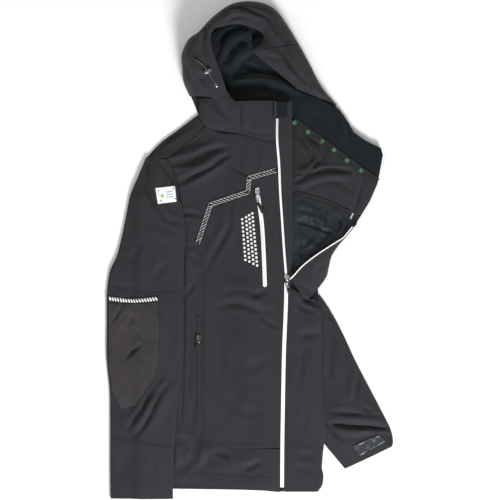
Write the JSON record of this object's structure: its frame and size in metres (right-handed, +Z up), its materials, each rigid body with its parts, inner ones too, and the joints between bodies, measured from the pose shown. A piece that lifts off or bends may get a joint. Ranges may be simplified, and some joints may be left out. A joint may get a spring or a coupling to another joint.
{
  "type": "hooded softshell jacket",
  "caption": "Hooded softshell work jacket laid flat on its back, one front turned open above the zip, a sleeve at each side and reflective trims.",
  "frame": {"origin": "centre of the laid garment's outline, on the surface that it lies on", "axes": "+Z up from the surface, +Y from the hem to the hood, +X to the right as seen from above"},
  "size_m": [0.5729, 0.9955, 0.0596],
  "materials": {
    "softshell": "matt woven polyester with a slight sheen",
    "fleece": "dark bonded microfleece",
    "mesh": "knitted mesh over cloth",
    "lining": "smooth creased lining",
    "reflective": "pale reflective tape",
    "patch": "pale woven patch",
    "tape": "woven tape",
    "coated": "glossy coated cloth",
    "metal": "plated zip hardware",
    "plastic": "moulded black",
    "cord": "braided elastic cord"
  },
  "bodies": {
    "garment": {"folded_under_layers": "softshell", "back_panel": "softshell", "front_chest_piece": "softshell", "front_main_piece": "softshell", "front_side_piece": "softshell", "front_hem_right": "softshell", "chest_zip": "reflective", "hand_pocket_welt": "softshell", "shoulder_mesh_right": "mesh", "left_front_piece": "softshell", "front_hem_left": "softshell", "wind_guard": "softshell", "zip_tape_right": "reflective", "zip_chain": "reflective", "zip_end_box": "plastic", "left_front_turned": "softshell", "zip_tape_left": "reflective", "collar_left_inside": "fleece", "mesh_lining": "mesh", "facing_left_front": "softshell", "pocket_lining": "lining", "facing_edge_left": "softshell", "neck_tape": "tape", "inner_pocket_tape": "tape", "collar_right_side": "softshell", "collar_right_front": "softshell", "sleeve_right_upper": "softshell", "sleeve_right_lower": "softshell", "cuff_right": "softshell", "sleeve_patch": "patch", "sleeve_tape": "reflective", "elbow_mesh": "mesh", "sleeve_left": "softshell", "cuff_left": "softshell", "cuff_tab": "coated", "hood_side_right": "softshell", "hood_crown": "softshell", "hood_side_left": "softshell", "hood_back": "softshell", "hood_lining": "fleece", "cord_eyelet": "metal", "drawcord": "cord", "cord_lock": "plastic", "cord_end": "cord", "main_slider": "metal", "chest_slider": "metal", "hand_slider": "metal"},
    "main_pull": {"main_pull_loop": "metal", "main_pull_tab": "plastic"},
    "chest_pull": {"chest_pull_loop": "metal", "chest_pull_tab": "plastic"},
    "hand_pull": {"hand_pull_loop": "metal", "hand_pull_tab": "plastic"}
  },
  "joints": [
    {"name": "main_pull_hinge", "type": "hinge", "parent": "garment", "child": "main_pull", "pos_m": [0.074, -0.058, 0.0197], "axis": [-0.9903, -0.1392, 0], "range_deg": [0, 150]},
    {"name": "chest_pull_hinge", "type": "hinge", "parent": "garment", "child": "chest_pull", "pos_m": [0.0156, 0.112, 0.02042], "axis": [-0.9903, -0.1392, 0], "range_deg": [0, 150]},
    {"name": "hand_pull_hinge", "type": "hinge", "parent": "garment", "child": "hand_pull", "pos_m": [-0.103, -0.178, 0.0108], "axis": [-0.9848, 0.1736, 0], "range_deg": [0, 150]}
  ]
}
